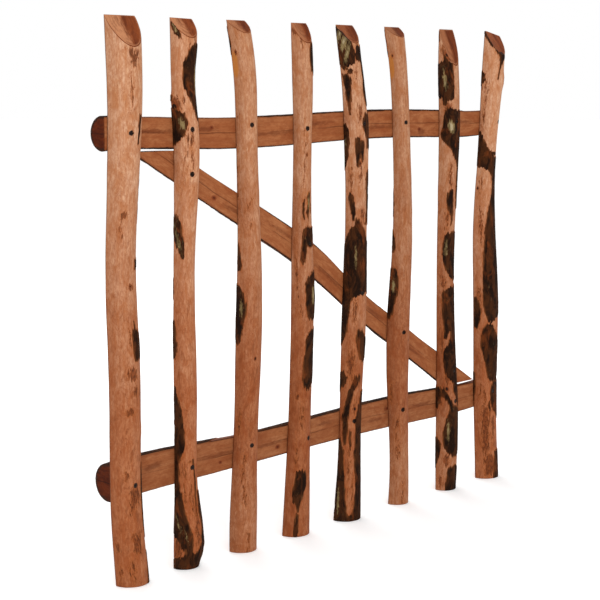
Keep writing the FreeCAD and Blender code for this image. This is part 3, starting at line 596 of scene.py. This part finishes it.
def close_mesh(log, points, along, middle, side, out, radius, is_arc, values, seed):
    """Joins the rows into a tube, closes both ends with rings shrinking to a point, and makes the object."""
    rows, columns = along.shape
    vertices = [points.reshape(-1, 3)]
    data = {key: [value.reshape(rows * columns, -1)] for key, value in values.items()}
    index = np.arange(rows * columns).reshape(rows, columns)
    after = np.roll(index, -1, axis=1)
    quads = [np.stack([index[:-1], after[:-1], after[1:], index[1:]], axis=-1).reshape(-1, 4)]
    kinds = [np.broadcast_to(np.where(is_arc & np.roll(is_arc, -1), 0, 1), (rows - 1, columns)).ravel()]
    fans = []
    total = rows * columns
    for end, row in ((0, 0), (1, rows - 1)):
        ring = index[row]
        heart_side = np.full(columns, middle[row].mean())
        heart_out = np.full(columns, log.heart + 0.32 * radius[row].mean())
        for step in range(1, CAP_RINGS + 1):
            share = max(1 - (FIRST_RING + (1 - FIRST_RING) * (step - 1) / (CAP_RINGS - 1)), 0)
            across = heart_side + (middle[row] + side[row] - heart_side) * share
            outward = heart_out + (out[row] - heart_out) * share
            spot = np.stack([across / MM / 3, outward / MM / 9, np.full(columns, 7.0 * seed + end)], axis=-1)
            sunk = MM * (0.22 * noise(spot, seed + 40) + 0.15 * np.sin(outward / MM * 2.3 + 2 * spot[:, 0]))
            sunk = sunk * min(1, 3 * (1 - share)) * (1 if end else -1)
            reach = log.reach(end, across, outward)
            here = log.place(reach - (1 if end else -1) * CAP_DEPTH + sunk * 0.6, across, outward)
            if step == CAP_RINGS:
                here, across, outward, reach = here[:1], across[:1], outward[:1], reach[:1]
            size = len(here)
            vertices.append(here)
            deep = (1 - share) * np.hypot(side[row], out[row] - heart_out)[:size] / MM
            bark = np.where(is_arc[:size], values["bark"][row][:size] - 2.2 * deep, NOWHERE)
            data["bark"].append(bark[:, None])
            plain = {"pale": NOWHERE, "scar": NOWHERE, "knot": 0, "hole_shade": 0, "rim": 1 - share}
            for key, value in plain.items():
                data[key].append(np.full((size, 1), value, float))
            slot = np.full(size, 0.37 * seed + end)
            data["log_place"].append(np.stack([across - heart_side[0], outward - log.heart, slot], axis=-1))
            lighter_foot = total + np.arange(size)
            total += size
            if step < CAP_RINGS:
                near, far = (ring, lighter_foot) if end else (lighter_foot, ring)
                quads.append(np.stack([near, np.roll(near, -1), np.roll(far, -1), far], axis=-1))
                kinds.append(np.full(columns, 2))
                ring = lighter_foot
            else:
                pair = (ring, np.roll(ring, -1)) if end else (np.roll(ring, -1), ring)
                fans.append(np.stack([*pair, np.full(columns, lighter_foot[0])], axis=-1))
    quads = np.concatenate(quads)
    fans = np.concatenate(fans)
    mesh = bpy.data.meshes.new(log.name + "_wood")
    mesh.from_pydata(np.concatenate(vertices).tolist(), [], quads.tolist() + fans.tolist())
    kinds = np.concatenate(kinds + [np.full(len(fans), 2)])
    mesh.polygons.foreach_set("material_index", kinds.astype(np.int32))
    carried = {key: np.concatenate(parts) for key, parts in data.items()}
    # Rails and brace: their ends get a drying crack and are painted darker, as shade.
    dark = 0.0 if log.name.startswith("picket") else 1.0
    for key, value in zip(("light", "red", "lighter_foot", "cut", "dark"), (*TINTS[log.name], dark)):
        carried[key] = np.full((total, 1), value)
    for key, value in carried.items():
        kind, field = ("FLOAT_VECTOR", "vector") if value.shape[1] == 3 else ("FLOAT", "value")
        attribute = mesh.attributes.new(key, kind, "POINT")
        attribute.data.foreach_set(field, value.astype(np.float32).ravel())
    mesh.validate()
    mesh.shade_smooth()
    mesh.set_sharp_from_angle(angle=math.radians(48))
    return add_object(log.name + "_wood", mesh)


# ---- materials ----
def srgb(red, green, blue):
    """A colour given from 0 to 255 as on a screen, in the linear form that shaders take."""
    linear = [((c / 255 + 0.055) / 1.055) ** 2.4 if c > 10 else c / 255 / 12.92 for c in (red, green, blue)]
    return (*linear, 1)


class Shader:
    """A Principled material and short calls that add nodes to it. On wood, its place runs along a log."""

    def __init__(self, name, roughness, specular, wooden=True):
        self.material = bpy.data.materials.new(name)
        self.material.use_nodes = True
        self.tree = self.material.node_tree
        self.principled = self.tree.nodes["Principled BSDF"]
        self.principled.inputs["Roughness"].default_value = roughness
        self.principled.inputs["Specular IOR Level"].default_value = specular
        self.at = self.read("log_place", "Vector") if wooden else self.add("TexCoord", {}, "Object")

    def add(self, kind, inputs, output=0, **settings):
        made = self.tree.nodes.new("ShaderNode" + kind)
        for key, value in settings.items():
            setattr(made, key, value)
        for key, value in inputs.items():
            if isinstance(value, bpy.types.NodeSocket):
                self.tree.links.new(value, made.inputs[key])
            else:
                made.inputs[key].default_value = value
        return made.outputs[output]

    def read(self, name, output="Fac"):
        return self.add("Attribute", {}, output, attribute_name=name)

    def noise(self, scale, detail=3.0, rough=0.55, twist=0.0):
        """Noise with so many waves a metre along, round and out of the log."""
        scaled = self.add("VectorMath", {0: self.at, 1: scale}, operation="MULTIPLY")
        return self.add("TexNoise", {"Vector": scaled, "Scale": 1.0, "Detail": detail, "Roughness": rough,
                                     "Distortion": twist})

    def wave(self, *settings):
        """The same noise about zero."""
        return self.sum(-0.5, self.noise(*settings))

    def field(self, low, high, *settings):
        """The same noise stretched, from 0 at low to 1 at high."""
        return self.range(self.noise(*settings), low, high)

    def sum(self, a, b, by=1.0):
        """a + b * by"""
        return self.add("Math", {0: b, 1: by, 2: a}, operation="MULTIPLY_ADD")

    def times(self, a, b):
        return self.add("Math", {0: a, 1: b}, operation="MULTIPLY")

    def size(self, value):
        return self.add("Math", {0: value}, operation="ABSOLUTE")

    def part(self, place, axis):
        """One coordinate of a place."""
        return self.add("SeparateXYZ", {0: place}, axis)

    def range(self, value, low, high, to_low=0.0, to_high=1.0):
        """A smooth step from to_low to to_high as the value goes from low to high."""
        return self.add("MapRange", {"Value": value, "From Min": low, "From Max": high, "To Min": to_low,
                                     "To Max": to_high}, interpolation_type="SMOOTHSTEP")

    def mix(self, share, a, b, blend="MIX"):
        return self.add("Mix", {0: share, 6: a, 7: b}, 2, data_type="RGBA", blend_type=blend)

    def over(self, base, *layers):
        """The base with layers laid over it, each as share, strength and its colour from 0 to 255."""
        for share, strength, *colour in layers:
            base = self.mix(self.times(share, strength), base, srgb(*colour))
        return base

    def finish(self, colour, height, roughness=None):
        """Height is in metres."""
        bump = self.add("Bump", {"Height": height, "Distance": 1.0, "Strength": 1.0})
        self.tree.links.new(colour, self.principled.inputs["Base Color"])
        self.tree.links.new(bump, self.principled.inputs["Normal"])
        if roughness is not None:
            self.tree.links.new(roughness, self.principled.inputs["Roughness"])
        return self.material


def tinted(s, colour):
    """Each log's own lightness and redness."""
    light = s.read("light")
    grey = s.add("CombineColor", {0: light, 1: light, 2: light})
    colour = s.mix(1.0, colour, grey, "MULTIPLY")
    warm = s.mix(1.0, colour, (0.96, 0.74, 0.56, 1), "MULTIPLY")
    return s.mix(s.read("red"), colour, warm)


def darker_below(s, colour):
    """Painted shade and weathering: every log is darker and redder towards the ground."""
    height = s.part(s.add("TexCoord", {}, "Object"), 2)
    high = s.sum(height, s.wave((9, 24, 1), 2), 0.35)
    lighter_foot = s.times(s.range(height, 0.24, 0.06), s.read("lighter_foot"))
    low = s.times(s.range(high, 0.75, 0.20), s.sum(1.0, lighter_foot, -1.0))
    colour = s.mix(low, colour, s.mix(1.0, colour, (0.68, 0.46, 0.33, 1), "MULTIPLY"))
    rust = s.field(0.52, 0.66, (38, 100, 3), 5, 0.68, 0.8)
    return s.mix(s.times(s.times(low, rust), 0.6), colour, srgb(108, 54, 26))


def round_side():
    """Peeled wood with what is left of its bark."""
    s = Shader("peeled_wood_and_bark", 0.6, 0.06)
    streaks = s.field(0.34, 0.66, (22, 210, 1), 5, 0.6)
    blotches = s.field(0.40, 0.66, (30, 60, 1), 5, 0.65, 0.8)
    mottle = s.field(0.36, 0.64, (150, 320, 1), 4, 0.7, 0.5)
    grain = s.field(0.38, 0.72, (90, 1100, 1), 3)
    specks = s.field(0.60, 0.70, (240, 520, 1), 3, 0.6, 0.4)
    flecks = s.field(0.54, 0.72, (90, 260, 2), 4, 0.6)
    trail = s.wave((34, 70, 4), 3, 0.6, 1.6)
    trail = s.range(s.size(trail), 0.012, 0.002)
    trail = s.times(trail, s.field(0.54, 0.62, (13, 30, 6), 2))
    wood = s.mix(streaks, srgb(196, 154, 124), srgb(182, 132, 98))
    wood = s.over(wood, (blotches, 0.8, 166, 106, 66), (mottle, 0.5, 146, 88, 54), (grain, 0.22, 138, 80, 48),
        (flecks, 0.28, 218, 182, 146), (specks, 0.5, 120, 62, 34), (trail, 0.6, 112, 58, 32))
    # Painted shade: the round face darkens towards both its sides, with a thin dark painted outline along its
    # edges.
    rim = s.read("rim")
    wood = s.over(wood, (s.range(rim, 0.75, 0.2), 0.28, 128, 76, 46),
        (s.range(rim, 0.07, 0.01), 0.75, 70, 38, 22))
    wood = s.mix(s.range(s.read("pale"), -1.5, 0.8, 0, 0.8), wood, srgb(172, 108, 46))
    wood = darker_below(s, tinted(s, wood))

    fine = s.wave((120, 420, 1), 4)
    bark_level = s.sum(s.read("bark"), fine, 1.4)
    bark_level = s.sum(bark_level, s.wave((45, 620, 1), 3), 5.0)
    broken_scar = s.sum(-0.53, s.noise((80, 330, 13), 5, 0.72, 0.4))
    scar_level = s.sum(s.read("scar"), broken_scar, 30.0)
    scar = s.range(scar_level, -1.0, 1.0)
    wood = s.over(wood, (s.range(scar_level, -3.5, 0.0), 0.4, 158, 88, 42))
    wood = s.mix(s.times(scar, 0.85), wood, s.mix(mottle, srgb(118, 58, 26), srgb(60, 28, 13)))
    knot = s.read("knot")
    ring = s.field(0.3, 0.7, (500, 500, 1), 2)
    wood = s.mix(s.range(knot, 0.1, 0.7), wood, s.mix(ring, srgb(92, 42, 20), srgb(134, 70, 34)))
    wood = s.mix(s.range(knot, 0.7, 0.95), wood, srgb(30, 15, 10))
    halo = s.range(s.noise((50, 140, 1), 3), 0.35, 0.62, 0.15, 0.9)
    halo = s.times(s.range(bark_level, -3.0, 0.0), halo)
    wood = s.over(wood, (halo, 0.75, 146, 76, 34), (s.range(bark_level, -0.8, -0.1), 0.8, 96, 46, 20))

    tone = s.field(0.40, 0.62, (26, 70, 1), 6, 0.66, 0.7)
    crust = s.mix(tone, srgb(27, 13, 6), srgb(63, 33, 14))
    red = s.field(0.55, 0.70, (18, 50, 3), 5, 0.65, 0.6)
    crust = s.over(crust, (red, 0.6, 112, 54, 22))
    thin = s.times(s.range(bark_level, 3.2, 0.2), s.field(0.38, 0.58, (30, 90, 11), 4, 0.6))
    crust = s.over(crust, (thin, 0.8, 106, 60, 30))
    silver = s.field(0.60, 0.70, (70, 180, 5), 6, 0.75, 0.8)
    crust = s.over(crust, (silver, 0.4, 106, 90, 62))
    broken = s.noise((120, 330, 7), 5, 0.75)
    pale_level = s.sum(s.read("pale"), s.sum(-0.55, broken), 12.0)
    pale = s.range(pale_level, -0.5, 1.6)
    chalk = s.mix(tone, srgb(90, 72, 44), srgb(140, 120, 80))
    chalk = s.mix(s.range(pale_level, 2.5, 6.0), chalk, srgb(178, 162, 128))
    crust = s.mix(s.times(pale, 0.8), crust, chalk)
    cover = s.range(bark_level, -0.15, 0.15)
    colour = s.mix(cover, wood, crust)
    # Painted shade: the screw holes are painted near black.
    colour = s.mix(s.range(s.read("hole_shade"), 0.25, 1.0), colour, srgb(30, 16, 11))

    wood_height = s.sum(s.times(grain, -0.00006), specks, -0.00008)
    wood_height = s.sum(wood_height, mottle, 0.00012)
    crack = s.field(0.35, 0.6, (90, 520, 1), 4, 0.7)
    bark_height = s.sum(s.times(tone, 0.00045), crack, 0.0003)
    height = s.sum(wood_height, s.times(cover, s.sum(0.0004, bark_height)))
    return s.finish(colour, height, s.range(cover, 0, 1, 0.58, 0.86))


def sawn_side():
    """The flat face: straight grain, saw marks across it, and the dark line of the pith."""
    s = Shader("sawn_wood", 0.62, 0.06)
    wander = s.sum(s.part(s.at, 1), s.wave((6, 0, 1), 3), 0.011)
    wander = s.sum(wander, s.wave((60, 0, 1), 2), 0.0016)
    pith = s.range(s.noise((9, 0, 3), 3), 0.40, 0.58, 0.15, 0.85)
    pith = s.times(s.range(s.size(wander), 0.0013, 0.0004), pith)
    bands = s.field(0.3, 0.7, (5, 90, 1), 4, 0.6, 0.4)
    lines = s.field(0.42, 0.72, (18, 900, 1), 4, 0.6, 0.3)
    blotch = s.field(0.38, 0.66, (18, 44, 1), 5, 0.66, 0.8)
    mottle = s.field(0.38, 0.66, (110, 260, 2), 4, 0.7, 0.5)
    wood = s.mix(bands, srgb(198, 142, 102), srgb(182, 120, 80))
    # The thin darker line along both edges of the flat face is painted shade.
    wood = s.over(wood, (blotch, 0.7, 156, 90, 54), (mottle, 0.4, 150, 84, 50), (lines, 0.25, 128, 70, 40),
        (s.range(s.read("rim"), 0.12, 0.01), 0.35, 104, 58, 34), (pith, 0.75, 92, 48, 28))
    scar = s.sum(s.read("scar"), s.wave((90, 300, 1), 4, 0.7), 10.0)
    wood = s.mix(s.range(scar, -2.5, 1.5, 0, 0.55), wood, srgb(108, 54, 30))
    knot = s.read("knot")
    wood = s.mix(s.range(knot, 0.05, 0.6, 0, 0.8), wood, srgb(128, 62, 36))
    wood = s.mix(s.range(knot, 0.7, 1.1, 0, 0.8), wood, srgb(56, 28, 18))
    wood = tinted(s, wood)
    cover = s.range(s.sum(s.read("bark"), s.read("rim"), -90.0), 8.0, 12.0)
    wood = s.mix(cover, wood, srgb(40, 20, 12))
    saw = s.noise((420, 14, 1), 2)
    height = s.sum(s.times(lines, -0.00012), saw, 0.00012)
    return s.finish(wood, height)


def end_side():
    """Cut ends: wandering year rings round the heart, lighter sapwood, and a drying crack in the rails."""
    s = Shader("end_grain", 0.62, 0.05)
    rim = s.read("rim")
    wobble = s.noise((46, 46, 1), 4, 0.6)
    flat = s.add("VectorMath", {0: s.at, 1: (1, 1, 0)}, operation="MULTIPLY")
    away = s.add("VectorMath", {0: flat}, 1, operation="LENGTH")
    rings = s.add("Math", {0: s.times(s.sum(away, wobble, 0.010), 1150.0)}, operation="SINE")
    rings = s.times(s.range(rings, -0.9, 0.95), s.field(0.35, 0.6, (70, 70, 9), 3))
    smear = s.field(0.36, 0.66, (60, 26, 1), 5, 0.65, 0.7)
    fine = s.field(0.35, 0.7, (700, 500, 1), 3)
    wood = s.mix(smear, srgb(126, 62, 28), srgb(86, 37, 14))
    left = s.range(s.sum(s.part(s.at, 0), s.sum(-0.5, smear), 0.01), 0.004, -0.013)
    wood = s.over(wood, (left, s.read("cut"), 186, 128, 90), (rings, 0.35, 84, 38, 18),
        (fine, 0.3, 96, 44, 24), (s.range(rim, 0.12, 0.02), 0.6, 182, 122, 84))
    crack = s.size(s.sum(s.part(s.at, 0), s.sum(-0.5, wobble), 0.006))
    crack = s.range(crack, 0.0009, 0.0003, 0, 0.8)
    wood = s.over(wood, (crack, s.read("dark"), 48, 22, 14))
    # Painted shade: the ends of the rails and the brace are painted darker all over.
    shade = s.mix(1.0, wood, (0.78, 0.70, 0.62, 1), "MULTIPLY")
    wood = s.mix(s.read("dark"), tinted(s, wood), tinted(s, shade))
    wood = s.mix(s.range(s.read("bark"), -0.8, 0.2), wood, srgb(48, 25, 15))
    height = s.sum(s.times(rings, 0.0001), fine, -0.00012)
    return s.finish(wood, height)


def screw_steel():
    """Darkened steel."""
    s = Shader("darkened_steel", 0.5, 0.15, wooden=False)
    s.principled.inputs["Metallic"].default_value = 0.35
    dust = s.field(0.4, 0.7, (900, 900, 900), 3)
    colour = s.mix(dust, srgb(30, 22, 18), srgb(56, 40, 32))
    return s.finish(colour, s.times(dust, 0.00004), s.range(dust, 0, 1, 0.4, 0.65))


WOOD = [round_side(), sawn_side(), end_side()]
STEEL = screw_steel()

# ---- the leaf ----
for number, name in enumerate(BARK):
    wood = build_log(name, number + 1)
    for material in WOOD:
        wood.data.materials.append(material)
    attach(wood, "root")
    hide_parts(name)
for name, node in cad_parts.items():
    if name.endswith("screws"):
        node.data.materials.clear()
        node.data.materials.append(STEEL)


# ---- camera, floor and light ----
CAMERA_PLACE = (-2.0198, -1.8468, 0.7887)
CAMERA_YAW = math.radians(46.604)
CAMERA_DIP = math.radians(7.850)
CAMERA_LENS = 92.29
LAMP_TARGET = (0, 0, 0.5)
LAMP_SIZE = 2.4
FLOOR_HALF = 30.0

camera = add_object("camera", bpy.data.cameras.new("camera"))
camera.data.lens = CAMERA_LENS
camera.data.sensor_width = 36
camera.location = CAMERA_PLACE
camera.rotation_euler = (math.radians(90) - CAMERA_DIP, 0, -CAMERA_YAW)
bpy.context.scene.camera = camera


def pale_floor():
    """A wide plain floor."""
    mesh = bpy.data.meshes.new("floor")
    half = FLOOR_HALF
    corners = [(-half, -half, 0), (half, -half, 0), (half, half, 0), (-half, half, 0)]
    mesh.from_pydata(corners, [], [(0, 1, 2, 3)])
    floor = add_object("floor", mesh)
    s = Shader("pale_floor", 0.9, 0.1, wooden=False)
    tone = s.mix(s.noise((3, 3, 3)), srgb(254, 254, 254), srgb(250, 250, 250))
    s.principled.inputs["Emission Color"].default_value = (1, 1, 1, 1)
    s.principled.inputs["Emission Strength"].default_value = 0.07
    mesh.materials.append(s.finish(tone, s.times(s.noise((40, 40, 40)), 0.0001)))


def soft_lamp(name, place, power):
    """A round lamp aimed at the leaf."""
    lamp = bpy.data.lights.new(name, "AREA")
    lamp.shape = "DISK"
    lamp.size = LAMP_SIZE
    lamp.energy = power
    made = add_object(name, lamp)
    made.location = place
    made.rotation_euler = (Vector(LAMP_TARGET) - Vector(place)).to_track_quat("-Z", "Y").to_euler()


pale_floor()
soft_lamp("key", (-2.6, -3.0, 2.4), 70)
soft_lamp("back", (1.5, 3.0, 2.4), 40)
world = bpy.data.worlds.new("studio")
world.use_nodes = True
background = world.node_tree.nodes["Background"].inputs
background["Color"].default_value = (1, 1, 1, 1)
background["Strength"].default_value = 1.0
bpy.context.scene.world = world
bpy.context.scene.view_settings.view_transform = "Standard"
